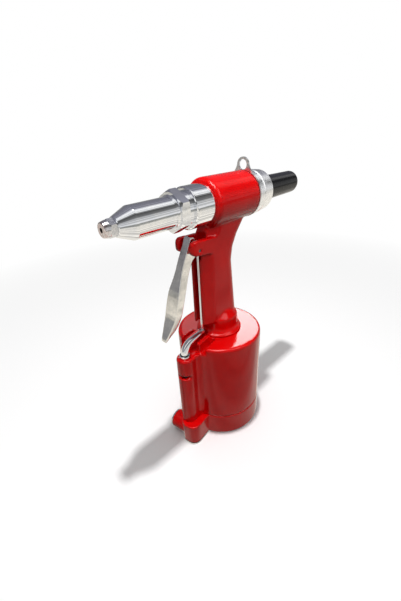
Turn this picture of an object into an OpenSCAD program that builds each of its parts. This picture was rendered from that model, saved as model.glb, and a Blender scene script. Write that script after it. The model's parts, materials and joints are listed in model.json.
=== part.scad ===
// Air-hydraulic hand riveter.
// The frame: origin at the centre of the base face, +Z up, the nose points along -Y.
// The head axis lies in the plane x = 0; the air cylinder stands on the Z axis.

/* [Air cylinder] */
// Outer radius of the air cylinder
drum_r = 43.5; // [42:0.5:46]
// Height of the top face of the air cylinder
drum_top_z = 115.6; // [112:0.1:118]
// Height of the seam between the base casting and the air cylinder
seam_z = 26; // [25:0.5:27]
// Bore radius of the air cylinder
drum_bore_r = 38; // [37.5:0.1:38]

/* [Handle and head] */
// Height of the head axis
head_z = 244.5; // [244:0.5:248]
// Front face of the head along Y
head_front_y = -17; // [-18:0.1:-16.8]
// Rear face of the head along Y
head_rear_y = 36; // [36:0.5:38]
// Outer radius of the head
head_r = 21.1; // [20.8:0.1:22]
// Half width of the handle
handle_half_w = 12; // [11.5:0.1:12.5]
// Front of the handle along Y
handle_front_y = -28; // [-29:0.5:-27.5]

/* [Nose] */
// Radius of the nose housing
nose_r = 12.3; // [12:0.1:13]
// Radius of the lock ring
ring_r = 17.1; // [16.5:0.1:18]
// Width across flats of the nose housing's hexagon
nose_hex_af = 29.8; // [29:0.1:30]
// Radius of the mandrel hole in the nose piece
mandrel_hole_r = 1.8; // [1.3:0.1:2.4]

/* [Rear] */
// Radius of the mandrel collector at its mouth
collector_r = 11.7; // [11:0.1:13]
// Rear end of the mandrel collector along Y
collector_end_y = 117; // [105:1:125]

/* [Trigger and valve] */
// Trigger pivot along Y
pivot_y = -32; // [-32.5:0.1:-31.5]
// Trigger pivot height
pivot_z = 210.5; // [210:0.1:211]
// Push rod radius
rod_r = 1.6; // [1.5:0.1:1.8]
// Radius of the bent valve lever
lever_r = 3.7; // [3.5:0.1:3.8]
// Distance from the push rod to the valve axis
valve_reach = 29.9; // [29.5:0.1:30.5]
// Angle of the valve column from the centre plane, degrees
valve_yaw = 9.6; // [8:0.1:11]
// Radius of the valve column
column_r = 8.5; // [8.4:0.1:9]

/* [Hidden] */

$fn = 64;
gap = 0.05;          // running and assembly clearance
eps = 0.01;          // overrun of a cut past a face
big = 200;           // length of a cut that goes right through

// Rod and valve frame: the push rod stands rod_y in front of the drum axis.
rod_y = -24;
floor_z = drum_top_z - 7.2;      // floor of the recess over the valve column
ceiling_z = floor_z - 5.4;       // roof of the air chamber
lever_z = 120.3;                 // height of the lever's straight run
lever_bend_r = 10;
valve_bore_r = 5;
bushing_z = floor_z - 4.1;       // foot of the bushing round the lever
bushing_r = 5.25;
exhaust_z = 85.8;                // exhaust slot across the valve column
exhaust_h = 3.6;
exhaust_turn = 21;
plate_t = 1.6;                   // valve cover plate
plate_lip = 0.25;
cover_screw_places = [[8.8, -7.2], [9, 6], [-6.4, 5.6]];
block_right = 15.7;              // valve block on the base casting
block_front = valve_reach + 13;
block_left_r = 9;
inlet_z = 10.8;
inlet_r = 10;
inlet_end = 20;
inlet_seat_r = 8.3;
inlet_seat_h = 7.7;
port_z = 21.4;
base_screw_ring_r = 40.6;        // circle of the four base screws
base_screw_r = 1.25;
base_screw_head_r = 2;
base_screw_head_h = 1.4;
gasket_r = 39.1;
gasket_t = 1;
joint_seal_r = 7.4;
joint_seal_t = 1.2;

// Hub between handle and drum.
hub_r = 23.2;
hub_wall_r = 19.2;
hub_top_z = 133.5;
hub_seat_r = hub_r + 0.6;
spigot_r = 14.95;
gland_r = 10;
oil_bore_r = 6.6;
oil_bore_z = 120;
oil_port_r = 3;

// Air piston group.
piston_z = 24;
piston_h = 12;
ram_r = 6.5;
ram_top_z = 127;
ram_neck_r = 4.5;
bumper_r = 18;
recess_z = 18;
recess_r = drum_bore_r + 0.1;

// Head.
head_rear_r = head_r - 0.4;
head_bore_r = 13.5;
head_bore_y = -4;
cap_spigot_y = 26.5;
cap_spigot_r = 15;
nose_thread_r = 14;
nose_seat_y = -11;
rod_bore_r = 7.05;
seal_seat_r = 9.5;

// Nose stations along Y, from the tip to the head.
tip_y = -108.8;
tip_hex_y = -104.6;
nose_front_y = -99.7;
nose_cone_y = -87.3;
flare_y = -53.2;
hex_y = -51;
hex_rear_y = -42.6;
ring_front_y = -36.8;
case_front_y = -88;
case_r = 9.5;
case_rear_y = -34;
jaw_front_y = -86.5;
jaw_rear_y = -74;
jaw_cone_slope = 0.176;          // tangent of the 10 degree jaw cone

// Rear end.
hanger_t = 1.6;
eye_h = 25;
eye_r = 4.4;
cap_flange_r = 20.6;
cap_end_y = 58.8;
cap_spigot_end_y = 75;
stub_r = 9;
tube_r = 3.4;
tube_bore_r = 2.6;

// Trigger and its ears.
ear_in = 6.3;
ear_z = 213;
ear_front_r = 6.4;
link_y = rod_y;
trigger_t = 1.6;
pin_r = 1.5;
link_pin_r = 1.2;
groove_half_w = 4;
oil_plug_y = -0.5;
oil_plug_x = -head_r + 2.2;      // seat of the oil plug's washer
oil_plug_r = 2.5;
groove_back_y = -20.2;

// ---- helpers ----

// Points of an arc from angle a0 to a1 in n steps.
function arc(cx, cy, r, a0, a1, n = 6) =
    [for (i = [0:n]) [cx + r * cos(a0 + (a1 - a0) * i / n), cy + r * sin(a0 + (a1 - a0) * i / n)]];

// A profile of [radius, y] points turned about the head axis.
module turned(profile) {
    translate([0, 0, head_z])
        rotate([-90, 0, 0])
            rotate_extrude($fn = 96)
                polygon(profile);
}

// A rod along the head axis from y0 to y1.
module axis_rod(r, y0, y1) {
    translate([0, y0, head_z])
        rotate([-90, 0, 0])
            cylinder(r = r, h = y1 - y0);
}

// A tube along the head axis.
module axis_tube(r_out, r_in, y0, y1) {
    difference() {
        axis_rod(r_out, y0, y1);
        axis_rod(r_in, y0 - eps, y1 + eps);
    }
}

// A hexagonal prism along the head axis, one pair of flats facing +-X.
module axis_hex(af, y0, y1) {
    translate([0, y0, head_z])
        rotate([-90, 0, 0])
            rotate([0, 0, 30])
                cylinder(d = af / cos(30), h = y1 - y0, $fn = 6);
}

// A ring about Z.
module ring(r_out, r_in, z0, z1) {
    translate([0, 0, z0])
        difference() {
            cylinder(r = r_out, h = z1 - z0);
            translate([0, 0, -eps])
                cylinder(r = r_in, h = z1 - z0 + 2 * eps);
        }
}

// The valve frame: local +Y runs back from the valve to the push rod, local x is across.
module in_valve_frame() {
    translate([0, rod_y, 0])
        rotate([0, 0, valve_yaw])
            children();
}

// The places of the four base screws.
module at_base_screws() {
    for (a = [45:90:315])
        rotate([0, 0, a])
            translate([base_screw_ring_r, 0, 0])
                children();
}

// The valve axis as a local Z axis.
module on_valve_axis() {
    in_valve_frame()
        translate([0, -valve_reach, 0])
            children();
}

// A helical spring from z = 0 to length, closed as one tube of eight sides.
module coil(mean_r, wire_r, turns, length) {
    steps = ceil(turns * 14);
    sides = 8;
    rise = length - 2 * wire_r;
    points = [for (i = [0:steps], k = [0:sides - 1])
        let (a = 360 * turns * i / steps, b = 360 * k / sides, r = mean_r + wire_r * cos(b))
        [r * cos(a), r * sin(a), wire_r + rise * i / steps + wire_r * sin(b)]];
    walls = [for (i = [0:steps - 1], k = [0:sides - 1])
        let (n = (k + 1) % sides)
        [i * sides + k, (i + 1) * sides + k, (i + 1) * sides + n, i * sides + n]];
    first = [for (k = [0:sides - 1]) k];
    last = [for (k = [0:sides - 1]) steps * sides + sides - 1 - k];
    polyhedron(points = points, faces = concat(walls, [first, last]), convexity = 8);
}

// ---- red castings ----

// One slice of the handle: a round back, round flanks and two front lips.
module handle_slice(z, back_y, front_y) {
    translate([0, 0, z])
        linear_extrude(0.2) {
            translate([0, back_y - handle_half_w])
                circle(handle_half_w, $fn = 40);
            for (side = [-1, 1]) {
                translate([side * (handle_half_w - 5), front_y + 12])
                    circle(5, $fn = 24);
                translate([side * 4.9, front_y + 2.5])
                    circle(2.5, $fn = 16);
            }
        }
}

module handle_grip() {
    hull() {
        handle_slice(132, 19.2, handle_front_y - 0.4);
        handle_slice(190, 13.6, handle_front_y);
    }
    hull() {
        handle_slice(190, 13.6, handle_front_y);
        handle_slice(203, 15.8, handle_front_y);
    }
    hull() {
        handle_slice(203, 15.8, handle_front_y);
        handle_slice(214, 21.5, handle_front_y + 4);
    }
    hull() {
        handle_slice(214, 21.5, handle_front_y + 4);
        handle_slice(228, 32.6, head_front_y + 1.4);
    }
}

// An ear for the trigger pin, rounded at its front in side view and in plan.
module ear(side) {
    front_y = pivot_y - 3.2;
    intersection() {
        rotate([90, 0, 90])
            translate([0, 0, -20])
                linear_extrude(40)
                    union() {
                        translate([front_y, ear_z])
                            circle(ear_front_r);
                        polygon([[front_y, ear_z + ear_front_r], [-10, 217.8],
                            [-10, 203.2], [front_y, ear_z - ear_front_r]]);
                    }
        translate([0, 0, 190])
            linear_extrude(40)
                polygon(concat([[side * ear_in, -10], [side * handle_half_w, -10]],
                    [for (p = arc(handle_half_w - 5, front_y - 1.6, 5, 0, -90)) [side * p[0], p[1]]],
                    [[side * ear_in, front_y - 6.6]]));
    }
}

// Foot of the handle: a round flange, a hollow flare, a wall and a cone up to the grip.
module hub() {
    flare_r = 6;
    shoulder_z = hub_top_z + 6.9;
    rotate_extrude($fn = 96)
        polygon(concat([[0, drum_top_z], [hub_r, drum_top_z]],
            arc(hub_r - 0.5, drum_top_z + 1.4, 0.5, 0, 60, 3),
            arc(hub_wall_r + flare_r, drum_top_z + 7.6, flare_r, 246, 180),
            arc(hub_wall_r - 0.7, hub_top_z - 0.7, 0.7, 0, 45, 3),
            [[11.5, shoulder_z], [0, shoulder_z]]));
}

module head_body() {
    turned(concat([[0, head_front_y]],
        arc(head_r - 4, head_front_y + 4, 4, 270, 356),
        arc(head_rear_r - 0.8, head_rear_y - 0.8, 0.8, 5, 90, 3),
        [[0, head_rear_y]]));
}

module handle_casting() {
    color([0.85, 0.04, 0.04])
        difference() {
            union() {
                handle_grip();
                head_body();
                hub();
                ear(1);
                ear(-1);
                // The lever guides run on over the foot.
                intersection() {
                    in_valve_frame()
                        lever_guides();
                    translate([0, 0, drum_top_z])
                        cylinder(r = hub_r - 0.3, h = 10);
                }
                translate([0, 0, ceiling_z])
                    cylinder(r = spigot_r, h = drum_top_z - ceiling_z + 1);
            }
            // Hydraulic cylinder, cap thread, rod bore and nose thread.
            axis_rod(head_bore_r, head_bore_y, cap_spigot_y + eps);
            axis_rod(cap_spigot_r, cap_spigot_y, head_rear_y + eps);
            axis_rod(rod_bore_r, head_front_y - eps, head_bore_y + eps);
            axis_rod(seal_seat_r, nose_seat_y - eps, nose_seat_y + 3);
            axis_rod(nose_thread_r, head_front_y - eps, nose_seat_y);
            // Oil bore up the handle and its port.
            translate([0, 0, ceiling_z - eps])
                cylinder(r = gland_r + gap, h = oil_bore_z + 4 - ceiling_z);
            translate([0, 0, oil_bore_z])
                cylinder(r = oil_bore_r, h = 106);
            translate([0, 0, oil_bore_z + 105])
                cylinder(r = oil_port_r, h = 12);
            // Push rod groove in the front of the handle and the hub.
            translate([-groove_half_w, -45, drum_top_z])
                cube([2 * groove_half_w, 45 + groove_back_y, 205 - drum_top_z]);
            // Pocket behind the trigger, between the ears.
            translate([-ear_in, -50, 199])
                cube([2 * ear_in, 50 + groove_back_y + 1.2, 23.2]);
            // Trigger pin hole.
            translate([-big / 2, pivot_y, pivot_z])
                rotate([0, 90, 0])
                    cylinder(r = pin_r + gap, h = big);
            // Oil plug hole on the far side.
            translate([-head_r - 1, oil_plug_y, head_z])
                rotate([0, 90, 0]) {
                    cylinder(r = oil_plug_r, h = 12);
                    cylinder(r = 5.2, h = oil_plug_x + head_r + 1);
                }
        }
}

// Outline of the valve column: round at the valve, blended into the drum by two fillets.
module column_outline() {
    fillet = 7;
    wide = column_r + fillet;
    root = -15;
    half = concat([[0, root + 3], [wide, root + 3], [wide, root - 3]],
        arc(wide, root - 3 - fillet, fillet, 90, 180, 5));
    polygon(concat(half, arc(0, -valve_reach, column_r, 0, -180, 24),
        [for (i = [len(half) - 1:-1:1]) [-half[i][0], half[i][1]]]));
}

// Cuts the top edge of the column to a 45 degree chamfer.
module column_edge_cut() {
    edge = 1.6;
    over = 0.5;
    triangle = [[column_r - edge - over, floor_z + over], [column_r + over, floor_z + over],
        [column_r + over, floor_z - edge - over]];
    translate([0, -valve_reach, 0])
        rotate([0, 0, 180])
            rotate_extrude(angle = 180)
                polygon(triangle);
    for (side = [0, 1])
        mirror([side, 0, 0])
            translate([0, -24.4, 0])
                rotate([90, 0, 0])
                    linear_extrude(valve_reach - 24.4)
                        polygon(triangle);
}

module column() {
    difference() {
        translate([0, 0, seam_z])
            linear_extrude(floor_z - seam_z)
                column_outline();
        column_edge_cut();
    }
}

// Two low walls that guide the lever.
module lever_guides() {
    guide_top_z = drum_top_z + 2.9;
    for (side = [-1, 1])
        translate([0, 0, floor_z - 1])
            linear_extrude(guide_top_z - floor_z + 1)
                polygon([[side * 4.85, 12], [side * 9.2, 12], [side * 9.2, -17.6],
                    [side * 4.85, -17.6]]);
}

module air_cylinder() {
    rim = 3;
    color([0.8, 0.04, 0.04])
        difference() {
            union() {
                difference() {
                    rotate_extrude($fn = 128)
                        polygon(concat([[0, seam_z], [drum_r - 0.5, seam_z], [drum_r, seam_z + 0.5]],
                            arc(drum_r - rim, drum_top_z - rim, rim, 0, 90),
                            [[0, drum_top_z]]));
                    // Recess over the valve, with the hub's seat left standing.
                    in_valve_frame()
                        difference() {
                            translate([0, 0, floor_z])
                                linear_extrude(20)
                                    polygon([[-14.2, 2], [14.2, 2], [16.6, -24], [-16.6, -24]]);
                            rotate([0, 0, -valve_yaw])
                                translate([0, -rod_y, floor_z - 1])
                                    cylinder(r = hub_seat_r, h = 30);
                        }
                }
                in_valve_frame() {
                    column();
                    lever_guides();
                }
            }
            // Seat for the hub, above the top face.
            translate([0, 0, drum_top_z])
                cylinder(r = hub_seat_r, h = 20);
            // Air chamber and the hole for the handle's spigot.
            translate([0, 0, seam_z - eps])
                cylinder(r = drum_bore_r, h = ceiling_z - seam_z + eps, $fn = 128);
            translate([0, 0, ceiling_z - eps])
                cylinder(r = spigot_r + gap, h = 20);
            // Valve bore, bushing seat and exhaust slot.
            on_valve_axis() {
                translate([0, 0, seam_z - eps])
                    cylinder(r = valve_bore_r, h = floor_z - seam_z - 4);
                translate([0, 0, bushing_z])
                    cylinder(r = bushing_r + gap, h = 10);
                rotate([0, 0, exhaust_turn])
                    translate([-12, -16, exhaust_z])
                        cube([24, 16 - 4.3, exhaust_h]);
            }
            at_base_screws()
                translate([0, 0, seam_z - eps])
                    cylinder(r = base_screw_r + gap, h = 12);
        }
}

// Outline of the valve block: hollow beside the drum at the left, round about the valve,
// a slanting face to the front and a round corner at the right.
module block_outline(inset = 0) {
    corner = 9;
    bend = 5;
    root = -block_right;
    hollow_y = -25;
    polygon(concat([[root + inset, -14]],
        arc(root, hollow_y, -block_left_r - root + inset, 90, 0, 5),
        arc(0, -valve_reach, block_left_r - inset, 180, 225, 5),
        arc(2.6, bend - block_front, bend - inset, 225, 270, 4),
        arc(block_right - corner, corner - block_front, corner - inset, 270, 360),
        [[block_right + 0.2 - inset, -14]]));
}

module base_casting() {
    color([0.75, 0.04, 0.04])
        difference() {
            union() {
                rotate_extrude($fn = 128)
                    polygon([[0, 0], [drum_r - 0.8, 0], [drum_r, 0.8], [drum_r, seam_z - 0.5],
                        [drum_r - 0.5, seam_z], [0, seam_z]]);
                difference() {
                    union() {
                        in_valve_frame()
                            translate([0, 0, plate_t])
                                linear_extrude(seam_z - plate_t)
                                    block_outline();
                        on_valve_axis()
                            translate([-inlet_end, 0, inlet_z])
                                rotate([0, 90, 0])
                                    cylinder(r = inlet_r, h = inlet_end);
                    }
                    // The cover plate's seat.
                    in_valve_frame()
                        translate([0, 0, -eps])
                            linear_extrude(plate_t + eps)
                                block_outline(-plate_lip - gap);
                }
            }
            translate([0, 0, recess_z])
                cylinder(r = recess_r, h = seam_z, $fn = 128);
            // Gasket groove in the seam face.
            translate([0, 0, seam_z - gasket_t])
                cylinder(r = gasket_r, h = 2 * gasket_t);
            // Valve bore, its seal groove, inlet passage and the port to the chamber.
            on_valve_axis() {
                cylinder(r = valve_bore_r, h = 40);
                translate([0, 0, seam_z - joint_seal_t])
                    cylinder(r = joint_seal_r, h = 2 * joint_seal_t);
                translate([-inlet_end - eps, 0, inlet_z])
                    rotate([0, 90, 0])
                        cylinder(r = inlet_seat_r, h = 9);
                translate([-inlet_end, 0, inlet_z])
                    rotate([0, 90, 0])
                        cylinder(r = 3.5, h = inlet_end);
                translate([0, 0, port_z])
                    rotate([-90, 0, 0])
                        cylinder(r = 2.4, h = 25);
            }
            // Countersunk screw holes.
            at_base_screws()
                translate([0, 0, -eps]) {
                    cylinder(r = base_screw_r + gap, h = seam_z + 1);
                    cylinder(r1 = base_screw_head_r + gap, r2 = base_screw_r + gap,
                        h = base_screw_head_h);
                }
            // Threaded holes for the cover plate's screws.
            on_valve_axis()
                for (p = cover_screw_places)
                    translate([p[0], p[1], 0])
                        cylinder(r = 1.05, h = 7);
        }
}

// ---- base hardware and seals ----

module base_gasket() {
    color([0.1, 0.1, 0.1])
        ring(gasket_r - gap, recess_r + gap, seam_z - gasket_t, seam_z);
}

module base_screws() {
    color([0.7, 0.7, 0.72])
        at_base_screws()
            difference() {
                union() {
                    cylinder(r = base_screw_r, h = seam_z + 9);
                    cylinder(r1 = base_screw_head_r, r2 = base_screw_r, h = base_screw_head_h);
                }
                translate([0, 0, -eps])
                    cylinder(d = 2 / cos(30), h = 1, $fn = 6);
            }
}

module valve_joint_seal() {
    color([0.1, 0.1, 0.1])
        on_valve_axis()
            ring(joint_seal_r - gap, valve_bore_r + 0.6, seam_z - joint_seal_t, seam_z);
}

module gland_nut() {
    flange_r = 19.5;
    color([0.72, 0.72, 0.75])
        difference() {
            union() {
                translate([0, 0, ceiling_z - 4])
                    cylinder(d = 2 * flange_r, h = 4, $fn = 6);
                translate([0, 0, ceiling_z - 4])
                    cylinder(r = gland_r, h = 20);
            }
            translate([0, 0, ceiling_z - 5])
                cylinder(r = ram_r + gap, h = 40);
        }
}

module ram_seal() {
    color([0.12, 0.35, 0.2])
        ring(gland_r, ram_r + 0.02, ceiling_z + 16.05, ceiling_z + 20.8);
}

module air_piston() {
    color([0.75, 0.76, 0.78])
        difference() {
            translate([0, 0, piston_z])
                cylinder(r = drum_bore_r - 0.3, h = piston_h, $fn = 128);
            difference() {
                translate([0, 0, piston_z + 4.5])
                    cylinder(r = drum_bore_r + 1, h = 3.6);
                translate([0, 0, piston_z + 4])
                    cylinder(r = drum_bore_r - 3, h = 5);
            }
            translate([0, 0, piston_z - 1])
                cylinder(r = ram_neck_r + gap, h = piston_h + 2);
            // Lightening ring in the top face.
            translate([0, 0, piston_z + piston_h - 2.4])
                difference() {
                    cylinder(r = 31, h = 4);
                    translate([0, 0, -1])
                        cylinder(r = 13, h = 6);
                }
        }
}

module air_piston_seal() {
    color([0.1, 0.1, 0.1])
        ring(drum_bore_r - gap, drum_bore_r - 2.95, piston_z + 4.6, piston_z + 8);
}

module ram() {
    neck_z = piston_z - 4.4;
    color([0.8, 0.8, 0.82]) {
        translate([0, 0, piston_z + piston_h])
            cylinder(r = ram_r, h = ram_top_z - piston_z - piston_h - 1);
        translate([0, 0, ram_top_z - 1])
            cylinder(r1 = ram_r, r2 = ram_r - 1, h = 1);
        translate([0, 0, neck_z])
            cylinder(r = ram_neck_r, h = piston_z + piston_h - neck_z);
    }
}

module piston_nut() {
    color([0.6, 0.6, 0.62])
        translate([0, 0, piston_z - 5])
            difference() {
                cylinder(d = 15.6, h = 5, $fn = 6);
                translate([0, 0, -1])
                    cylinder(r = ram_neck_r + gap, h = 8);
            }
}

module piston_bumper() {
    color([0.12, 0.12, 0.12])
        difference() {
            ring(bumper_r, 10, recess_z, piston_z - 0.1);
            for (a = [0:60:300])
                rotate([0, 0, a])
                    translate([8, -1.5, recess_z + 3.4])
                        cube([12, 3, 4]);
        }
}

// ---- nose ----

module nose_housing() {
    neck_r = 14.3;
    inner_r = 10;
    color([0.82, 0.83, 0.86])
        difference() {
            union() {
                turned(concat([[0, nose_front_y], [7.3 - 0.6, nose_front_y], [7.3, nose_front_y + 0.6]],
                    arc(nose_r - 1.2, nose_cone_y + 0.6, 1.2, -25, 0, 4),
                    [[nose_r, flare_y]],
                    arc(nose_r + 3, flare_y, 3, 180, 125, 5),
                    [[neck_r + 0.4, hex_y + 1], [neck_r, hex_y + 3], [neck_r, ring_front_y],
                        [nose_thread_r - gap, ring_front_y], [nose_thread_r - gap, nose_seat_y - gap],
                        [0, nose_seat_y - gap]]));
                // Hexagon with its corners chamfered by a cone at each end.
                intersection() {
                    axis_hex(nose_hex_af, hex_y, hex_rear_y);
                    turned([[0, hex_y], [15.2, hex_y], [17.4, hex_y + 1.8], [17.4, hex_rear_y - 1],
                        [16.2, hex_rear_y], [0, hex_rear_y]]);
                }
            }
            // Bore for the jaw case, front thread and rear opening.
            turned([[0, -89.9], [5.4, -89.9], [inner_r, -88.6], [inner_r, nose_seat_y + 1],
                [0, nose_seat_y + 1]]);
            axis_rod(5.05, nose_front_y - 1, -89);
        }
}

module lock_ring() {
    color([0.8, 0.81, 0.85])
        difference() {
            turned(concat([[0, ring_front_y], [ring_r - 1.3, ring_front_y]],
                arc(ring_r - 1, ring_front_y + 1.3, 1, -60, 0, 3),
                [[ring_r, head_front_y - 0.4], [ring_r - 0.4, head_front_y], [0, head_front_y]]));
            axis_rod(nose_thread_r, ring_front_y - 1, head_front_y + 1);
        }
}

module nose_piece() {
    color([0.55, 0.57, 0.62])
        difference() {
            union() {
                turned(concat([[0, tip_y]],
                    arc(4.6, tip_y + 1, 1, 270, 330, 4),
                    arc(4.2, tip_hex_y - 0.3, 2, 0, 40, 3),
                    [[5.6, tip_hex_y + 0.4], [5.6, nose_front_y], [5, nose_front_y], [5, -91],
                        [3.2, -91], [3.2, -87.4], [2.6, -87.2], [0, -87.2]]));
                intersection() {
                    axis_hex(11.8, tip_hex_y, nose_front_y);
                    turned([[0, tip_hex_y - 0.5], [5.7, tip_hex_y - 0.5], [6.8, tip_hex_y + 0.8],
                        [6.8, nose_front_y - 0.5], [6.4, nose_front_y], [0, nose_front_y]]);
                }
            }
            axis_rod(mandrel_hole_r, tip_y - 1, -80);
        }
}

// ---- pulling gear ----

function cone_r(y) = 4.9 + (y - case_front_y) * jaw_cone_slope;

module jaw_case() {
    color([0.5, 0.5, 0.53])
        difference() {
            turned([[0, case_front_y], [6.4, case_front_y], [case_r, case_front_y + 2],
                [case_r, case_rear_y], [0, case_rear_y]]);
            turned([[0, case_front_y - 1], [cone_r(case_front_y - 1), case_front_y - 1],
                [cone_r(-72), -72], [cone_r(-72), -46], [0, -46]]);
            axis_rod(6, -47, case_rear_y + 1);
        }
}

// One of three jaws: a 116 degree sector of the cone with a toothed bore.
module jaw(index) {
    span = 116;
    teeth = 8;
    pitch = 1.3;
    bore = [for (i = [0:teeth - 1], k = [0, 1])
        [1.5 - 0.35 * k, jaw_front_y + 1 + pitch * (i + 0.5 * k)]];
    color([0.35, 0.35, 0.38])
        translate([0, 0, head_z])
            rotate([-90, 0, 0])
                rotate([0, 0, 120 * index + 30 - span / 2])
                    rotate_extrude(angle = span)
                        polygon(concat([[1.9, jaw_front_y]], bore,
                            [[1.5, jaw_rear_y], [5.6, jaw_rear_y],
                            [cone_r(jaw_rear_y - 0.6) - 0.1, jaw_rear_y - 0.6],
                            [cone_r(jaw_front_y) - 0.1, jaw_front_y]]));
}

module jaw_1() {
    jaw(0);
}

module jaw_2() {
    jaw(1);
}

module jaw_3() {
    jaw(2);
}

module jaw_pusher() {
    color([0.6, 0.6, 0.64])
        difference() {
            turned([[0, jaw_rear_y + 0.1], [5, jaw_rear_y + 0.1], [7.2, jaw_rear_y + 2.3],
                [7.2, jaw_rear_y + 7], [5.2, jaw_rear_y + 7], [5.2, jaw_rear_y + 13],
                [0, jaw_rear_y + 13]]);
            axis_rod(2.7, jaw_rear_y - 1, jaw_rear_y + 15);
        }
}

module jaw_pusher_spring() {
    color([0.6, 0.6, 0.6])
        translate([0, jaw_rear_y + 7.1, head_z])
            rotate([-90, 0, 0])
                coil(6.35, 0.6, 6, -46.1 - (jaw_rear_y + 7.1));
}

module pull_piston() {
    color([0.68, 0.69, 0.72])
        difference() {
            turned([[0, -46], [5.6, -46], [6 - gap, -45.6], [6 - gap, case_rear_y],
                [rod_bore_r - gap, case_rear_y], [rod_bore_r - gap, -3.8], [9.5, -3.8], [9.5, 2],
                [head_bore_r - gap, 2], [head_bore_r - gap, 4.4], [11, 4.4], [11, 7.6],
                [head_bore_r - gap, 7.6], [head_bore_r - gap, 10], [0, 10]]);
            axis_rod(tube_r + 0.25, -47, 12);
        }
}

module pull_piston_seal() {
    color([0.12, 0.35, 0.2])
        axis_tube(head_bore_r - gap, 11.05, 4.5, 7.5);
}

module rod_seal() {
    color([0.1, 0.1, 0.1])
        axis_tube(seal_seat_r - 0.02, rod_bore_r, nose_seat_y, nose_seat_y + 2.9);
}

module return_spring() {
    color([0.55, 0.56, 0.58])
        translate([0, 10.2, head_z])
            rotate([-90, 0, 0])
                coil(9.4, 1.1, 6, 54 - 10.4);
}

// ---- rear end ----

module rear_cap() {
    flange_y = head_rear_y + hanger_t;
    color([0.88, 0.89, 0.91])
        difference() {
            turned([[0, cap_spigot_y], [cap_spigot_r - gap, cap_spigot_y],
                [cap_spigot_r - gap, flange_y], [cap_flange_r - 0.4, flange_y],
                [cap_flange_r, flange_y + 0.4], [cap_flange_r, flange_y + 5.2], [19.7, flange_y + 6],
                [19.7, flange_y + 7], [20.3, flange_y + 7.6], [18.7, cap_end_y - 0.5], [18.2, cap_end_y],
                [stub_r, cap_end_y], [stub_r, cap_spigot_end_y - 0.8], [stub_r - 0.8, cap_spigot_end_y],
                [0, cap_spigot_end_y]]);
            axis_rod(12, cap_spigot_y - 1, 54);
            axis_rod(tube_r + 0.02, 50, cap_spigot_end_y - 3);
            axis_rod(6, cap_spigot_end_y - 6, cap_spigot_end_y + 1);
            // O-ring groove behind the thread.
            difference() {
                axis_rod(cap_spigot_r + 1, 30, 32.2);
                axis_rod(cap_spigot_r - 1.9, 29, 33);
            }
        }
}

module rear_cap_seal() {
    color([0.1, 0.1, 0.1])
        axis_tube(cap_spigot_r - 0.02, cap_spigot_r - 1.85, 30.1, 32.1);
}

// Hanger plate: a disc and a small eye, joined by a neck with hollow round sides.
module hanger() {
    plate_r = head_rear_r + 0.2;
    eye_out = eye_r + 2;
    side_r = 18;
    side_y = (pow(plate_r + side_r, 2) - pow(eye_out + side_r, 2) + pow(eye_h, 2)) / (2 * eye_h);
    side_x = sqrt(pow(plate_r + side_r, 2) - pow(side_y, 2));
    half_w = plate_r * side_x / (plate_r + side_r);
    neck_h = eye_h + eye_out * (side_y - eye_h) / (side_r + eye_out);
    color([0.72, 0.72, 0.74])
        translate([0, head_rear_y + hanger_t, head_z])
            rotate([90, 0, 0])
                linear_extrude(hanger_t)
                    difference() {
                        union() {
                            circle(plate_r, $fn = 96);
                            translate([0, eye_h])
                                circle(eye_out, $fn = 48);
                            difference() {
                                translate([-half_w, 0])
                                    square([2 * half_w, neck_h]);
                                for (side = [-1, 1])
                                    translate([side * side_x, side_y])
                                        circle(side_r + 0.2, $fn = 48);
                            }
                        }
                        circle(cap_spigot_r + gap, $fn = 96);
                        translate([0, eye_h])
                            circle(eye_r, $fn = 48);
                    }
}

module mandrel_tube() {
    color([0.8, 0.78, 0.6])
        axis_tube(tube_r, tube_bore_r, -18, cap_spigot_end_y - 3.1);
}

module mandrel_collector() {
    mouth_y = cap_end_y + 0.1;
    wall = 2;
    color([0.05, 0.05, 0.06])
        difference() {
            turned(concat([[0, mouth_y], [collector_r - 0.5, mouth_y], [collector_r, mouth_y + 0.5]],
                arc(collector_r - 4.6, collector_end_y - 3.8, 3.8, 5, 90),
                [[0, collector_end_y]]));
            axis_rod(stub_r + gap, mouth_y - 1, mouth_y + 17);
            turned([[0, mouth_y + 16], [8.6, mouth_y + 17], [8.4, collector_end_y - wall - 1.5],
                [7, collector_end_y - wall], [0, collector_end_y - wall]]);
            axis_rod(1.6, collector_end_y - 5, collector_end_y + 1);
        }
}

// ---- trigger ----

// Side view of the trigger as [y, z] points: the front edge down, then the rear edge up.
trigger_front = [[-35.2, 221], [-41, 209], [-44.7, 202], [-49.7, 190], [-52.3, 184], [-55.6, 177],
    [-59.7, 163], [-61.8, 155], [-65.1, 148], [-68.3, 142], [-71.2, 137], [-72.4, 134]];
trigger_rear = [[-70.8, 132.8], [-66.4, 137], [-60.6, 142], [-56.9, 148], [-54, 155], [-51.4, 163],
    [-49.2, 170], [-46.4, 177], [-43.2, 184], [-40.3, 190], [-37.2, 196], [-33.6, 202.4],
    [-22.4, 205.6], [-21.2, 207.4], [-21.2, 213.4], [-23.4, 215.4], [-28, 216.6], [-32, 221]];
// Front view as [half width, z] points.
trigger_wide = [[2.2, 131], [3.6, 137], [4.9, 142], [6.2, 148], [7.3, 155], [7.5, 163], [7.4, 170],
    [6.9, 177], [5.6, 184], [4.7, 190], [4.2, 196], [4.2, 222]];

// Cuts the corners of an open line of points.
function eased(p) = concat([p[0]],
    [for (i = [0:len(p) - 2], t = [0.25, 0.75]) p[i] * (1 - t) + p[i + 1] * t], [p[len(p) - 1]]);

module trigger_side(outline) {
    rotate([90, 0, 90])
        translate([0, 0, -20])
            linear_extrude(40)
                polygon(outline);
}

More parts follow.
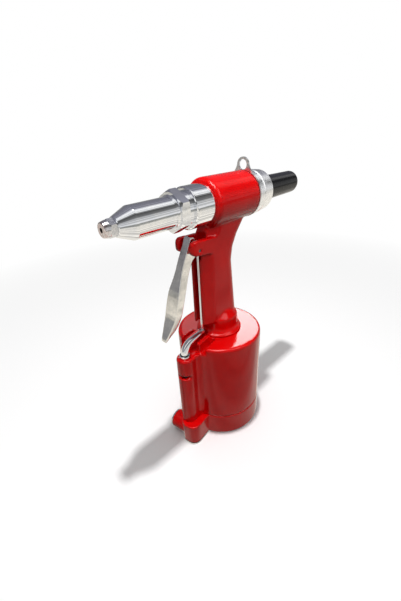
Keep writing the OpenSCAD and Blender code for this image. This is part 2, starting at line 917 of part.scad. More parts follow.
module trigger_face(inset) {
    line = eased(trigger_wide);
    translate([0, 100, 0])
        rotate([90, 0, 0])
            linear_extrude(big)
                polygon(concat([for (p = line) [p[0] - inset, p[1]]],
                    [for (i = [len(line) - 1:-1:0]) [inset - line[i][0], line[i][1]]]));
}

module trigger() {
    color([0.8, 0.8, 0.8])
        difference() {
            intersection() {
                trigger_side(concat(eased(trigger_front), eased(trigger_rear)));
                trigger_face(0);
            }
            // The channel that opens to the rear.
            intersection() {
                trigger_side(concat([for (p = eased(trigger_front)) [p[0] + 2, p[1] + 1]],
                    [[-40, 120], [0, 120], [0, 230], [-33.2, 230]]));
                trigger_face(trigger_t);
            }
            translate([-big / 2, pivot_y, pivot_z])
                rotate([0, 90, 0])
                    cylinder(r = pin_r + gap, h = big);
            translate([-big / 2, link_y, pivot_z])
                rotate([0, 90, 0])
                    cylinder(r = link_pin_r, h = big);
        }
}

module trigger_pin() {
    length = 22;
    color([0.7, 0.7, 0.72])
        translate([-length / 2, pivot_y, pivot_z])
            rotate([0, 90, 0])
                cylinder(r = pin_r, h = length);
}

module link_pin() {
    length = 8.2;
    color([0.7, 0.7, 0.72])
        translate([-length / 2, link_y, pivot_z])
            rotate([0, 90, 0])
                cylinder(r = link_pin_r, h = length);
}

module push_rod() {
    eye_half_w = 2.4;
    slot = 0.5;
    slot_r = link_pin_r + 0.06;
    color([0.82, 0.83, 0.85])
        difference() {
            union() {
                translate([0, rod_y, lever_z - 1])
                    cylinder(r = rod_r, h = pivot_z - lever_z + 1);
                translate([-eye_half_w, link_y, pivot_z])
                    rotate([0, 90, 0])
                        cylinder(r = 2.9, h = 2 * eye_half_w);
            }
            for (y = [-slot, slot])
                translate([-20, link_y + y, pivot_z])
                    rotate([0, 90, 0])
                        cylinder(r = slot_r, h = 40);
            translate([-20, link_y - slot, pivot_z - slot_r])
                cube([40, 2 * slot, 2 * slot_r]);
        }
}

// ---- valve ----

// The bent lever: an eye on the push rod, a run that thickens to the front, a quarter bend.
module valve_lever() {
    bend_y = -valve_reach + lever_bend_r;
    bend_z = lever_z - lever_bend_r;
    thin_r = 2.4;
    boss_h = 5.6;
    foot_z = 96;
    color([0.82, 0.83, 0.85])
        in_valve_frame()
            difference() {
                union() {
                    translate([0, 0, lever_z - boss_h / 2])
                        cylinder(r = 2.9, h = boss_h);
                    translate([0, 0, lever_z])
                        rotate([90, 0, 0])
                            cylinder(r1 = thin_r, r2 = lever_r, h = -bend_y, $fn = 48);
                    translate([0, bend_y, bend_z])
                        rotate([90, 0, -90])
                            rotate_extrude(angle = 90, $fn = 64)
                                translate([lever_bend_r, 0])
                                    circle(lever_r, $fn = 48);
                    translate([0, -valve_reach, foot_z])
                        cylinder(r = lever_r, h = bend_z - foot_z, $fn = 48);
                }
                translate([0, 0, lever_z - 1.2])
                    cylinder(r = rod_r + 0.03, h = 10);
            }
}

module valve_stem() {
    stem_r = 2.2;
    collar_r = 4.5;
    color([0.75, 0.75, 0.77])
        on_valve_axis() {
            translate([0, 0, 32])
                cylinder(r = stem_r, h = 64);
            translate([0, 0, 60])
                cylinder(r = collar_r, h = 2);
        }
}

module valve_spool() {
    land_r = valve_bore_r - gap;
    groove_r = 3.1;
    color([0.78, 0.66, 0.35])
        on_valve_axis()
            rotate_extrude()
                polygon([[0, 4], [land_r, 4], [land_r, 5.4], [groove_r, 5.4], [groove_r, 7.4],
                    [land_r, 7.4], [land_r, 8.6], [2.6, 9.6], [2.6, 12.6], [land_r, 13.6],
                    [land_r, 14.6], [groove_r, 14.6], [groove_r, 16.6], [land_r, 16.6],
                    [land_r, 18], [2.6, 19], [2.6, 24.4], [land_r, 25.6], [land_r, 27],
                    [groove_r, 27], [groove_r, 29], [land_r, 29], [land_r, 30.4], [2.2, 32],
                    [0, 32]]);
}

module spool_seals() {
    color([0.1, 0.1, 0.1])
        on_valve_axis()
            for (z = [6.4, 15.6, 28])
                translate([0, 0, z])
                    rotate_extrude()
                        translate([4.06, 0])
                            circle(0.88, $fn = 24);
}

module valve_spring() {
    color([0.6, 0.6, 0.62])
        on_valve_axis()
            translate([0, 0, 62.1])
                coil(4.3, 0.45, 9, bushing_z - 0.2 - 62.2);
}

module valve_bushing() {
    height = 6.4;
    edge = 0.4;
    guide_h = 1.9;
    mouth_r = 4.6;               // leaves room for the start of the lever's bend
    color([0.85, 0.86, 0.88])
        on_valve_axis()
            difference() {
                union() {
                    translate([0, 0, bushing_z])
                        cylinder(r = bushing_r, h = height);
                    translate([0, 0, bushing_z + height])
                        cylinder(r1 = bushing_r, r2 = bushing_r - edge, h = edge);
                }
                translate([0, 0, bushing_z - 1])
                    cylinder(r = lever_r + gap, h = 10);
                translate([0, 0, bushing_z + guide_h])
                    cylinder(r = mouth_r, h = 10);
            }
}

module valve_cover_plate() {
    color([0.78, 0.79, 0.8])
        difference() {
            in_valve_frame()
                linear_extrude(plate_t)
                    block_outline(-plate_lip);
            translate([0, 0, -1])
                cylinder(r = drum_r + 0.2, h = 5, $fn = 128);
            on_valve_axis()
                for (p = cover_screw_places)
                    translate([p[0], p[1], -1])
                        cylinder(r = 1.3, h = 5);
        }
}

module cover_screws() {
    color([0.6, 0.6, 0.62])
        on_valve_axis()
            for (p = cover_screw_places)
                translate([p[0], p[1], 0.5])
                    cylinder(r = 1, h = 6);
}

module air_inlet_bushing() {
    flange_t = 1.2;
    color([0.8, 0.81, 0.83])
        on_valve_axis()
            translate([-inlet_end, 0, inlet_z])
                rotate([0, 90, 0])
                    difference() {
                        union() {
                            cylinder(r = inlet_seat_r - gap, h = inlet_seat_h);
                            translate([0, 0, -flange_t])
                                cylinder(r = 9.4, h = flange_t);
                        }
                        translate([0, 0, -2])
                            cylinder(r = 6.5, h = 12);
                    }
}

module inlet_screen() {
    pitch = 2.4;
    color([0.7, 0.65, 0.4])
        on_valve_axis()
            translate([-inlet_end + inlet_seat_h + 0.1, 0, inlet_z])
                rotate([0, 90, 0])
                    difference() {
                        cylinder(r = inlet_seat_r - 0.1, h = 0.8);
                        for (x = [-1:1], y = [-1:1])
                            translate([x * pitch * 1.4, y * pitch * 1.4, -1])
                                cylinder(r = 1.1, h = 3, $fn = 24);
                    }
}

module oil_plug() {
    color([0.6, 0.6, 0.62])
        translate([oil_plug_x, oil_plug_y, head_z])
            rotate([0, 90, 0])
                difference() {
                    union() {
                        translate([0, 0, -3])
                            cylinder(r = 4.4, h = 2.2);
                        translate([0, 0, -3])
                            cylinder(r = oil_plug_r - gap, h = 9);
                    }
                    translate([0, 0, -3 - eps])
                        cylinder(d = 3 / cos(30), h = 2, $fn = 6);
                }
}

module oil_plug_washer() {
    color([0.8, 0.5, 0.3])
        translate([oil_plug_x, oil_plug_y, head_z])
            rotate([0, 90, 0])
                difference() {
                    translate([0, 0, -0.8])
                        cylinder(r = 4.6, h = 0.8);
                    translate([0, 0, -2])
                        cylinder(r = oil_plug_r, h = 4);
                }
}

handle_casting();
air_cylinder();
base_casting();
base_gasket();
base_screws();
valve_joint_seal();
gland_nut();
ram_seal();
air_piston();
air_piston_seal();
ram();
piston_nut();
piston_bumper();
nose_housing();
lock_ring();
nose_piece();
jaw_case();
jaw_1();
jaw_2();
jaw_3();
jaw_pusher();
jaw_pusher_spring();
pull_piston();
pull_piston_seal();
rod_seal();
return_spring();
rear_cap();
rear_cap_seal();
hanger();
mandrel_tube();
mandrel_collector();
trigger();
trigger_pin();
link_pin();
push_rod();
valve_lever();
valve_stem();
valve_spool();
spool_seals();
valve_spring();
valve_bushing();
valve_cover_plate();
cover_screws();
air_inlet_bushing();
inlet_screen();
oil_plug();
oil_plug_washer();
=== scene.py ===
"""Looks of an air-hydraulic hand riveter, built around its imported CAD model.

The red castings and the pressed trigger get softened copies, whose edges are rounded. Every other part keeps
its CAD shape. All materials are procedural and work in object space, in metres.
"""

import json
import math

import bmesh
import bpy
from mathutils import Matrix, Vector

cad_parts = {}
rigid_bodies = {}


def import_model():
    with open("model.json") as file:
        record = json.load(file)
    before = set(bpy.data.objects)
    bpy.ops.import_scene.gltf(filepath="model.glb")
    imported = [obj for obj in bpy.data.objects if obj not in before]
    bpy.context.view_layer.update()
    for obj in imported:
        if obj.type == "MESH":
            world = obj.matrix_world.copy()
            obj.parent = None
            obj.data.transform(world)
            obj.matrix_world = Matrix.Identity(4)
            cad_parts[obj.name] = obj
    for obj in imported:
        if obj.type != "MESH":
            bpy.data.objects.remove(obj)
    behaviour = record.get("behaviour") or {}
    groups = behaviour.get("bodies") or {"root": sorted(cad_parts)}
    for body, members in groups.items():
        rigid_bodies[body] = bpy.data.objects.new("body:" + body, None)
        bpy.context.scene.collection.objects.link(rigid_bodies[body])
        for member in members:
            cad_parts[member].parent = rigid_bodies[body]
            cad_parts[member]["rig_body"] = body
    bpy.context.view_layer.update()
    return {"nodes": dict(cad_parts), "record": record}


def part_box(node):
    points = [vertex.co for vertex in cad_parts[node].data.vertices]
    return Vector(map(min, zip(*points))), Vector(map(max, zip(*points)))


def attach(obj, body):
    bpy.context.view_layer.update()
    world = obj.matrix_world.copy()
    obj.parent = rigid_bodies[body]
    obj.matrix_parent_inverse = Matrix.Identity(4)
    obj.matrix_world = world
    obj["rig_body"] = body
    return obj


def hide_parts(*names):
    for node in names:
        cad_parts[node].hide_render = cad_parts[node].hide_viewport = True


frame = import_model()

nodes = frame["nodes"]
MM = 0.001
HEAD_Z = (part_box("lock_ring")[0].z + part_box("lock_ring")[1].z) / 2


# ---- material building ----

class Finish:
    """A Principled material, with short calls that add and link nodes."""

    def __init__(self, name, colour, metallic=0.0, roughness=0.4, **sockets):
        self.material = bpy.data.materials.new(name)
        self.material.use_nodes = True
        self.tree = self.material.node_tree
        self.shader = self.tree.nodes["Principled BSDF"]
        self.set("Base Color", (*colour, 1.0))
        self.set("Metallic", metallic)
        self.set("Roughness", roughness)
        for socket, value in sockets.items():
            self.set(socket.replace("_", " "), value)
        self.place = self.node("ShaderNodeTexCoord").outputs["Object"]
        self.heights = []

    def set(self, socket, value):
        self.shader.inputs[socket].default_value = value

    def node(self, kind, **settings):
        made = self.tree.nodes.new(kind)
        for key, value in settings.items():
            setattr(made, key, value)
        return made

    def feed(self, socket, value):
        """Links an output, or sets a plain value."""
        if isinstance(value, bpy.types.NodeSocket):
            self.tree.links.new(value, socket)
        else:
            socket.default_value = value

    def stretched(self, factors, source=None):
        """Object coordinates scaled by a factor along each axis."""
        made = self.node("ShaderNodeVectorMath", operation="MULTIPLY")
        self.feed(made.inputs[0], source or self.place)
        self.feed(made.inputs[1], factors)
        return made.outputs[0]

    def noise(self, size, detail=3.0, rough=0.5, vector=None):
        """Smooth noise whose features are about size metres across."""
        made = self.node("ShaderNodeTexNoise")
        self.feed(made.inputs["Vector"], vector or self.place)
        self.feed(made.inputs["Scale"], 1.0 / size)
        self.feed(made.inputs["Detail"], detail)
        self.feed(made.inputs["Roughness"], rough)
        return made.outputs["Fac"]

    def cells(self, size):
        """Distance inside cells about size metres across."""
        made = self.node("ShaderNodeTexVoronoi")
        self.feed(made.inputs["Vector"], self.place)
        self.feed(made.inputs["Scale"], 1.0 / size)
        return made.outputs["Distance"]

    def maths(self, operation, a, b=0.0):
        made = self.node("ShaderNodeMath", operation=operation)
        self.feed(made.inputs[0], a)
        self.feed(made.inputs[1], b)
        return made.outputs[0]

    def spread(self, value, low, high, out_low=0.0, out_high=1.0):
        """Maps low..high to out_low..out_high, clamped."""
        made = self.node("ShaderNodeMapRange")
        self.feed(made.inputs["Value"], value)
        ends = {"From Min": low, "From Max": high, "To Min": out_low, "To Max": out_high}
        for socket, number in ends.items():
            self.feed(made.inputs[socket], number)
        return made.outputs["Result"]

    def blend(self, amount, first, second):
        """A colour between two colours or colour outputs."""
        made = self.node("ShaderNodeMix", data_type="RGBA")
        self.feed(made.inputs["Factor"], amount)
        ends = [s for s in made.inputs if s.type == "RGBA"]
        for socket, value in zip(ends, (first, second)):
            self.feed(socket, (*value, 1.0) if isinstance(value, tuple) else value)
        return [s for s in made.outputs if s.type == "RGBA"][0]

    def axis(self, name, source=None):
        made = self.node("ShaderNodeSeparateXYZ")
        self.feed(made.inputs[0], source or self.place)
        return made.outputs[name]

    def edges(self, low, high):
        """1 on convex edges, 0 on flats."""
        return self.spread(self.node("ShaderNodeNewGeometry").outputs["Pointiness"], low, high)

    def colour(self, value):
        self.feed(self.shader.inputs["Base Color"], value)

    def rough(self, value):
        self.feed(self.shader.inputs["Roughness"], value)

    def raise_by(self, height, depth):
        """Adds a height pattern that is depth metres deep to the bump."""
        made = self.node("ShaderNodeBump")
        self.feed(made.inputs["Height"], height)
        made.inputs["Strength"].default_value = 1.0
        made.inputs["Distance"].default_value = depth
        if self.heights:
            self.feed(made.inputs["Normal"], self.heights[-1])
        self.heights.append(made.outputs[0])
        self.feed(self.shader.inputs["Normal"], made.outputs[0])


def turning_marks(m, pitch, depth):
    """Fine rings round the head axis, as a lathe leaves them, a little uneven."""
    wobble = m.noise(4 * pitch, 2.0, 0.6, m.stretched((0.15, 1.0, 0.15)))
    along = m.maths("MULTIPLY", m.axis("Y"), 2 * math.pi / pitch)
    wave = m.maths("SINE", m.maths("ADD", along, m.maths("MULTIPLY", wobble, 9.0)))
    m.raise_by(wave, depth)
    return wave


def red_paint():
    m = Finish("red_paint", (0.69, 0.002, 0.002), roughness=0.14, Specular_IOR_Level=0.17)
    patches = m.noise(0.022, 3.0, 0.55)
    deep = m.blend(m.spread(patches, 0.35, 0.7), (0.64, 0.001, 0.002), (0.74, 0.002, 0.002))
    # Convex edges are painted a lighter orange red as a painted highlight. The same edge mask also makes
    # them rougher, as real wear.
    edge_wear_and_highlight = m.maths("MULTIPLY", m.edges(0.53, 0.60), m.spread(m.noise(0.004, 4.0, 0.7), 0.45, 0.62))
    lit = m.blend(m.maths("MULTIPLY", edge_wear_and_highlight, 0.3), deep, (0.74, 0.02, 0.015))
    dust = m.spread(m.cells(0.0055), 0.035, 0.02)
    m.colour(m.blend(m.maths("MULTIPLY", dust, 0.12), lit, (0.5, 0.08, 0.07)))
    smudge = m.noise(0.012, 4.0, 0.6)
    m.rough(m.maths("ADD", m.spread(smudge, 0.3, 0.75, 0.09, 0.2), m.maths("MULTIPLY", edge_wear_and_highlight, 0.1)))
    m.raise_by(m.noise(0.0016, 2.0, 0.4), 0.000006)
    m.raise_by(m.noise(0.009, 2.0, 0.5), 0.00006)
    return m.material


def polished_chrome():
    m = Finish("polished_chrome", (0.80, 0.81, 0.84), metallic=1.0, roughness=0.06)
    haze = m.noise(0.011, 4.0, 0.65)
    m.colour(m.blend(m.spread(haze, 0.35, 0.7), (0.74, 0.76, 0.80), (0.86, 0.86, 0.86)))
    fine = m.noise(0.0012, 3.0, 0.7, m.stretched((1.0, 0.08, 1.0)))
    m.rough(m.maths("ADD", m.spread(haze, 0.3, 0.75, 0.02, 0.05), m.spread(fine, 0.55, 0.8, 0.0, 0.03)))
    turning_marks(m, 0.0005, 0.0000008)
    m.raise_by(m.noise(0.02, 2.0, 0.5), 0.00006)
    return m.material


def nose_steel():
    m = Finish("nose_steel", (0.55, 0.56, 0.60), metallic=1.0, roughness=0.2)
    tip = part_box("nose_piece")[0].y
    worn_mouth = m.spread(m.axis("Y"), tip, tip + 0.004)
    tint = m.blend(worn_mouth, (0.50, 0.34, 0.32), (0.60, 0.61, 0.64))
    m.colour(m.blend(m.spread(m.noise(0.002, 4.0, 0.65), 0.35, 0.7), tint, (0.74, 0.74, 0.75)))
    m.rough(m.spread(m.noise(0.0015, 4.0, 0.7), 0.3, 0.75, 0.1, 0.26))
    turning_marks(m, 0.0004, 0.000003)
    return m.material


def bright_aluminium():
    m = Finish("bright_aluminium", (0.90, 0.905, 0.915), metallic=1.0, roughness=0.26)
    bands = m.noise(0.0014, 2.0, 0.6, m.stretched((0.05, 1.0, 0.05)))
    m.colour(m.blend(m.spread(bands, 0.3, 0.7), (0.84, 0.85, 0.87), (0.94, 0.94, 0.94)))
    m.rough(m.spread(m.noise(0.006, 4.0, 0.6), 0.3, 0.7, 0.2, 0.36))
    turning_marks(m, 0.0006, 0.000006)
    return m.material


def plated_steel():
    m = Finish("plated_steel", (0.62, 0.62, 0.64), metallic=1.0, roughness=0.3)
    spangle = m.cells(0.0022)
    m.colour(m.blend(m.spread(spangle, 0.1, 0.7), (0.56, 0.57, 0.60), (0.70, 0.69, 0.68)))
    scratches = m.noise(0.0016, 4.0, 0.7, m.stretched((1.0, 0.3, 0.12)))
    m.rough(m.spread(scratches, 0.35, 0.7, 0.22, 0.42))
    m.raise_by(scratches, 0.000008)
    return m.material


def trigger_plate():
    m = Finish("trigger_plate", (0.74, 0.73, 0.70), metallic=1.0, roughness=0.14)
    haze = m.noise(0.008, 4.0, 0.6)
    m.colour(m.blend(m.spread(haze, 0.35, 0.65), (0.66, 0.65, 0.63), (0.82, 0.80, 0.77)))
    drawn = m.noise(0.0012, 3.0, 0.7, m.stretched((1.0, 1.0, 0.06)))
    m.rough(m.maths("ADD", m.spread(haze, 0.3, 0.7, 0.08, 0.2), m.spread(drawn, 0.5, 0.8, 0.0, 0.1)))
    m.raise_by(drawn, 0.000006)
    m.raise_by(m.noise(0.012, 2.0, 0.5), 0.00008)
    return m.material


def black_plastic():
    m = Finish("black_plastic", (0.008, 0.008, 0.010), roughness=0.2, Specular_IOR_Level=0.3)
    dust = m.spread(m.noise(0.0011, 5.0, 0.75), 0.6, 0.78)
    m.colour(m.blend(m.maths("MULTIPLY", dust, 0.35), (0.006, 0.006, 0.008), (0.05, 0.05, 0.055)))
    m.rough(m.spread(m.noise(0.007, 4.0, 0.6), 0.3, 0.7, 0.12, 0.24))
    m.raise_by(m.noise(0.0006, 2.0, 0.5), 0.000006)
    return m.material


def rubber(name, colour):
    m = Finish(name, colour, roughness=0.65)
    bloom = m.noise(0.003, 4.0, 0.7)
    lighter = tuple(min(1.0, 1.6 * c + 0.02) for c in colour)
    m.colour(m.blend(m.spread(bloom, 0.4, 0.75), colour, lighter))
    m.rough(m.spread(bloom, 0.3, 0.7, 0.5, 0.8))
    m.raise_by(m.noise(0.0005, 2.0, 0.5), 0.00001)
    return m.material


def machined_steel(name, colour, roughness):
    m = Finish(name, colour, metallic=1.0, roughness=roughness)
    stain = m.noise(0.005, 4.0, 0.65)
    darker = tuple(0.75 * c for c in colour)
    m.colour(m.blend(m.spread(stain, 0.35, 0.7), darker, colour))
    m.rough(m.spread(m.noise(0.002, 4.0, 0.7), 0.3, 0.7, 0.7 * roughness, 1.4 * roughness))
    m.raise_by(m.noise(0.0008, 2.0, 0.6, m.stretched((1.0, 1.0, 0.1))), 0.000006)
    return m.material


def nylon():
    m = Finish("tube_nylon", (0.72, 0.68, 0.50), roughness=0.4, Subsurface_Weight=0.2)
    cloud = m.noise(0.006, 3.0, 0.5)
    m.colour(m.blend(m.spread(cloud, 0.3, 0.7), (0.68, 0.63, 0.44), (0.78, 0.75, 0.60)))
    m.rough(m.spread(cloud, 0.3, 0.7, 0.32, 0.5))
    m.raise_by(m.noise(0.0015, 2.0, 0.5, m.stretched((1.0, 0.1, 1.0))), 0.00001)
    return m.material


finishes = {
    "red_paint": red_paint(),
    "polished_chrome": polished_chrome(),
    "nose_steel": nose_steel(),
    "bright_aluminium": bright_aluminium(),
    "plated_steel": plated_steel(),
    "trigger_plate": trigger_plate(),
    "black_plastic": black_plastic(),
    "black_rubber": rubber("black_rubber", (0.02, 0.02, 0.02)),
    "green_seal": rubber("green_seal", (0.02, 0.14, 0.06)),
    "ground_steel": machined_steel("ground_steel", (0.60, 0.61, 0.64), 0.2),
    "dark_steel": machined_steel("dark_steel", (0.12, 0.12, 0.13), 0.4),
    "spring_steel": machined_steel("spring_steel", (0.42, 0.42, 0.44), 0.3),
    "brass": machined_steel("brass", (0.66, 0.47, 0.19), 0.25),
    "tube_nylon": nylon(),
    "copper": machined_steel("copper", (0.72, 0.36, 0.22), 0.35),
}
slot_of = {s["node"]: s["material_slot"] for s in frame["record"]["subparts"]}


def dress(piece, slot):
    """Gives a piece the finish of one of the record's material slots."""
    piece.data.materials.clear()
    piece.data.materials.append(finishes[slot])


# ---- softened copies of castings and pressings ----

def softened(name, node, voxel, passes):
    """A copy of a CAD node, remeshed and relaxed so that its edges and corners become fillets."""
    mesh = nodes[node].data.copy()
    piece = bpy.data.objects.new(name, mesh)
    bpy.context.scene.collection.objects.link(piece)
    bm = bmesh.new()
    bm.from_mesh(mesh)
    bmesh.ops.remove_doubles(bm, verts=bm.verts, dist=0.001 * MM)
    bm.to_mesh(mesh)
    bm.free()
    remesh = piece.modifiers.new("remesh", "REMESH")
    remesh.mode = "VOXEL"
    remesh.voxel_size = voxel
    remesh.adaptivity = 0.0
    relax = piece.modifiers.new("relax", "SMOOTH")
    relax.factor = 0.5
    relax.iterations = passes
    evaluated = piece.evaluated_get(bpy.context.evaluated_depsgraph_get())
    piece.data = bpy.data.meshes.new_from_object(evaluated)
    piece.data.name = name
    piece.modifiers.clear()
    for polygon in piece.data.polygons:
        polygon.use_smooth = True
    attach(piece, nodes[node]["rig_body"])
    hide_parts(node)
    dress(piece, slot_of[node])
    return piece


handle = softened("handle_cast", "handle_casting", 0.75 * MM, 10)
cylinder = softened("cylinder_cast", "air_cylinder", 0.75 * MM, 8)
base = softened("base_cast", "base_casting", 0.75 * MM, 6)
softened("trigger_pressing", "trigger", 0.4 * MM, 12)

for node, piece in nodes.items():
    if not piece.hide_render:
        dress(piece, slot_of[node])
dress(nodes["trigger_pin"], "dark_steel")

# ---- floor, light and camera ----

# What reflections see of the studio, as sRGB tones. SKY goes by the angle round the head's axis in degrees,
# from the right-hand horizon over the top to the left-hand one. GROUND goes by the distance to the right of
# the tool, in metres.
SKY = ((0, (210, 210, 210)), (25, (200, 200, 200)), (40, (110, 110, 110)), (60, (80, 80, 80)),
       (75, (250, 250, 250)), (85, (250, 250, 250)), (100, (140, 140, 150)), (140, (110, 110, 120)),
       (180, (140, 140, 140)))
GROUND = ((-1.6, (150, 150, 145)), (-0.6, (230, 225, 215)), (0.6, (230, 225, 215)), (1.6, (150, 150, 145)))
MIRROR_ALBEDO = 0.8                # how much of the light polished metal gives back
STREAKS_PER_DEGREE, STREAKS_PER_METRE = 0.22, 26.0
FLOOR_RADIUS = 8.0
FADE_START, FADE_END = 0.18, 0.75  # the floor turns to plain white between these distances
SEEN_FLOOR, LIGHTING_FLOOR = (0.95, 0.95, 0.95), (0.08, 0.08, 0.08)
DOWN = (0.0, 0.0, -1.0)
ALONG_X, ALONG_Y = (1.0, 0.0, 0.0), (0.0, 1.0, 0.0)
WHITE = (1.0, 1.0, 1.0, 1.0)
SOFT_LOW, SOFT_HIGH = 0.0, 0.62    # soft light from the horizon and from overhead


def linear(colour):
    """An sRGB tone of 0 to 255 as linear light, as bright as it must be to look so in polished metal."""
    parts = [c / 255 for c in colour]
    parts = [c / 12.92 if c <= 0.04045 else ((c + 0.055) / 1.055) ** 2.4 for c in parts]
    return [c / MIRROR_ALBEDO for c in parts]


class Nodes(Finish):
    """The same short calls on another node tree."""

    def __init__(self, tree):
        self.tree = tree


def streaked(m, place, table, fineness):
    """Colours from a table of places, broken into fine parallel streaks."""
    low, high = table[0][0], table[-1][0]
    ramp = m.node("ShaderNodeValToRGB")
    steps = ramp.color_ramp.elements
    while len(steps) < len(table):
        steps.new(0.5)
    for step, (at, colour) in zip(steps, table):
        step.position = (at - low) / (high - low)
        step.color = (*linear(colour), 1.0)
    m.feed(ramp.inputs[0], m.spread(place, low, high))
    grain = m.node("ShaderNodeTexNoise", noise_dimensions="1D")
    m.feed(grain.inputs["W"], place)
    m.feed(grain.inputs["Scale"], fineness)
    m.feed(grain.inputs["Detail"], 2.0)
    streak = m.spread(grain.outputs["Fac"], 0.36, 0.64, 0.5, 1.35)
    return ramp.outputs[0], streak


def link_object(name, data):
    piece = bpy.data.objects.new(name, data)
    bpy.context.scene.collection.objects.link(piece)
    return piece


def floor():
    """Pale paper that fades to plain white away from the tool. Reflections see the GROUND tones in it."""
    bm = bmesh.new()
    bmesh.ops.create_circle(bm, cap_ends=True, radius=FLOOR_RADIUS, segments=64)
    mesh = bpy.data.meshes.new("floor")
    bm.to_mesh(mesh)
    bm.free()
    piece = link_object("floor", mesh)
    m = Finish("floor_paper", (0.9, 0.9, 0.9), roughness=1.0, Specular_IOR_Level=0.0)
    path = m.node("ShaderNodeLightPath")
    m.colour(m.blend(path.outputs["Is Camera Ray"], LIGHTING_FLOOR, SEEN_FLOOR))
    distance = m.node("ShaderNodeVectorMath", operation="LENGTH")
    m.feed(distance.inputs[0], m.place)
    away = m.spread(distance.outputs["Value"], FADE_START, FADE_END)
    white = m.node("ShaderNodeEmission")
    white.inputs["Strength"].default_value = 1.0
    fade = m.node("ShaderNodeMixShader")
    m.feed(fade.inputs[0], m.maths("MULTIPLY", away, path.outputs["Is Camera Ray"]))
    m.feed(fade.inputs[1], m.shader.outputs[0])
    m.feed(fade.inputs[2], white.outputs[0])
    mirrored = m.node("ShaderNodeEmission")
    colour, streak = streaked(m, m.axis("X"), GROUND, STREAKS_PER_METRE)
    m.feed(mirrored.inputs["Color"], colour)
    m.feed(mirrored.inputs["Strength"], streak)
    choose = m.node("ShaderNodeMixShader")
    m.feed(choose.inputs[0], path.outputs["Is Glossy Ray"])
    m.feed(choose.inputs[1], fade.outputs[0])
    m.feed(choose.inputs[2], mirrored.outputs[0])
    m.feed(m.tree.nodes["Material Output"].inputs["Surface"], choose.outputs[0])
    piece.data.materials.append(m.material)
    return piece


def studio_world():
    """White to the eye, a soft light that is strongest overhead, and the SKY tones in reflections."""
    world = bpy.data.worlds.new("studio")
    bpy.context.scene.world = world
    world.use_nodes = True
    world.node_tree.nodes.clear()
    m = Nodes(world.node_tree)
    toward = m.node("ShaderNodeTexCoord").outputs["Generated"]
    height = m.axis("Z", toward)
    angle = m.maths("MULTIPLY", m.maths("ARCTAN2", height, m.axis("X", toward)), 180 / math.pi)
    soft = m.node("ShaderNodeBackground")
    m.feed(soft.inputs["Strength"], m.spread(height, 0.0, 1.0, SOFT_LOW, SOFT_HIGH))
    colour, streak = streaked(m, angle, SKY, STREAKS_PER_DEGREE)
    mirrored = m.node("ShaderNodeBackground")
    m.feed(mirrored.inputs["Color"], colour)
    m.feed(mirrored.inputs["Strength"], streak)
    white = m.node("ShaderNodeBackground")
    white.inputs["Color"].default_value = WHITE
    path = m.node("ShaderNodeLightPath")
    shade = soft
    for ray, layer in (("Is Glossy Ray", mirrored), ("Is Camera Ray", white)):
        mix = m.node("ShaderNodeMixShader")
        m.feed(mix.inputs[0], path.outputs[ray])
        m.feed(mix.inputs[1], shade.outputs[0])
        m.feed(mix.inputs[2], layer.outputs[0])
        shade = mix
    m.feed(m.node("ShaderNodeOutputWorld").inputs[0], shade.outputs[0])


def lamp(name, place, facing, along, size, radiance, receivers=None, mirrored_only=False):
    """A rectangular light. facing is where it shines and along is the direction of its first side. receivers
    are the pieces it lights, or all, and a mirrored_only light shows in reflections alone."""
    data = bpy.data.lights.new(name, "AREA")
    data.shape = "RECTANGLE"
    data.size, data.size_y = size
    data.energy = math.pi * size[0] * size[1] * radiance
    piece = link_object(name, data)
    back = -Vector(facing).normalized()
    first = Vector(along).normalized()
    turn = Matrix((first, back.cross(first), back)).transposed()
    piece.matrix_world = Matrix.Translation(place) @ turn.to_4x4()
    piece.visible_camera = False
    piece.visible_diffuse = not mirrored_only
    if receivers is not None:
        piece.light_linking.receiver_collection = receivers


def group(name, pieces):
    made = bpy.data.collections.new(name)
    for piece in pieces:
        made.objects.link(piece)
    return made


def aimed_box(name, azimuth, elevation, distance, size, radiance, receivers):
    """A soft box for reflections only, at an azimuth and an elevation in degrees from the drum's top."""
    a, e = math.radians(azimuth), math.radians(elevation)
    outward = Vector((math.cos(a) * math.cos(e), math.sin(a) * math.cos(e), math.sin(e)))
    target = Vector((0.0, 0.0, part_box("air_cylinder")[1].z))
    lamp(name, target + distance * outward, -outward, (-math.sin(a), math.cos(a), 0.0), size, radiance,
         receivers, True)


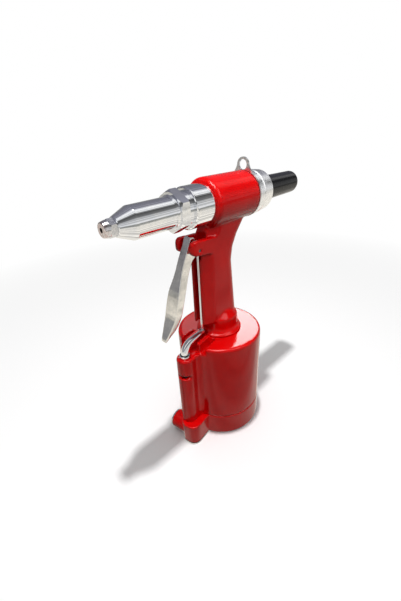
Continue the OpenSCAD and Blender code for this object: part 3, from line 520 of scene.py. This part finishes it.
def camera():
    """The camera looks down from the nose's right-hand side, with a slight roll."""
    azimuth = math.radians(47.522)
    down = math.radians(29.133)
    roll = math.radians(-3.309)
    focal, picture_height = 310.0, 601.0    # in pixels
    place = (0.19060, -0.19888, 0.30016)
    forward = Vector((-math.sin(azimuth) * math.cos(down), math.cos(azimuth) * math.cos(down),
                      -math.sin(down)))
    level = Vector((math.cos(azimuth), math.sin(azimuth), 0.0))
    upright = level.cross(forward)
    right = math.cos(roll) * level + math.sin(roll) * upright
    up = math.cos(roll) * upright - math.sin(roll) * level
    data = bpy.data.cameras.new("camera")
    data.sensor_width = 36.0    # millimetres
    data.lens = data.sensor_width * focal / picture_height
    data.clip_start = 0.01
    piece = link_object("camera", data)
    turn = Matrix((right, up, -forward)).transposed()
    piece.matrix_world = Matrix.Translation(place) @ turn.to_4x4()
    bpy.context.scene.camera = piece


ground = floor()
studio_world()
camera()
reds = (cylinder, handle, base)
drum_only = group("drum_only", [cylinder])
castings = group("castings", reds)
others = group("others", [piece for piece in bpy.context.scene.objects
                          if piece.type == "MESH" and piece not in reds])
rear_end = group("rear_end", [nodes["rear_cap"]])
stage = group("stage", [ground])
slant = math.radians(45)
across = Vector((math.cos(slant), 0.0, math.sin(slant)))

# Each lamp lights only the pieces of its group, so that the red and the metal can be lit apart.
lamp("overhead", (0.02, -0.016, 1.02), DOWN, ALONG_X, (0.035, 0.035), 1750, others)
lamp("casting_top", (0.05, -0.2, 0.75), (-0.05, 0.2, -0.6), ALONG_X, (0.3, 0.3), 11.0, castings)
lamp("casting_left", (-0.32, -0.3, 0.55), (0.32, 0.3, -0.35), ALONG_Y, (0.3, 0.3), 0.3, castings)
lamp("casting_side", (0.42, 0.05, 0.6), (-0.42, -0.05, -0.38), ALONG_Y, (0.3, 0.3), 4.6, castings)
lamp("cap_fill", Vector((0.0, 0.05, HEAD_Z)) + across, -across, ALONG_Y, (1.6, 1.2), 1.3, rear_end)
lamp("floor_fill", (0.0, 0.0, 1.6), DOWN, ALONG_X, (2.4, 2.4), 0.36, stage)
aimed_box("drum_glare", 115, 37, 0.9, (0.50, 0.34), 20.0, drum_only)
aimed_box("drum_glow", 142, 35, 0.9, (0.13, 0.16), 2.5, drum_only)
aimed_box("rim_box", 300, 75, 1.0, (0.5, 0.5), 9.0, castings)
bpy.context.scene.view_settings.view_transform = "Standard"
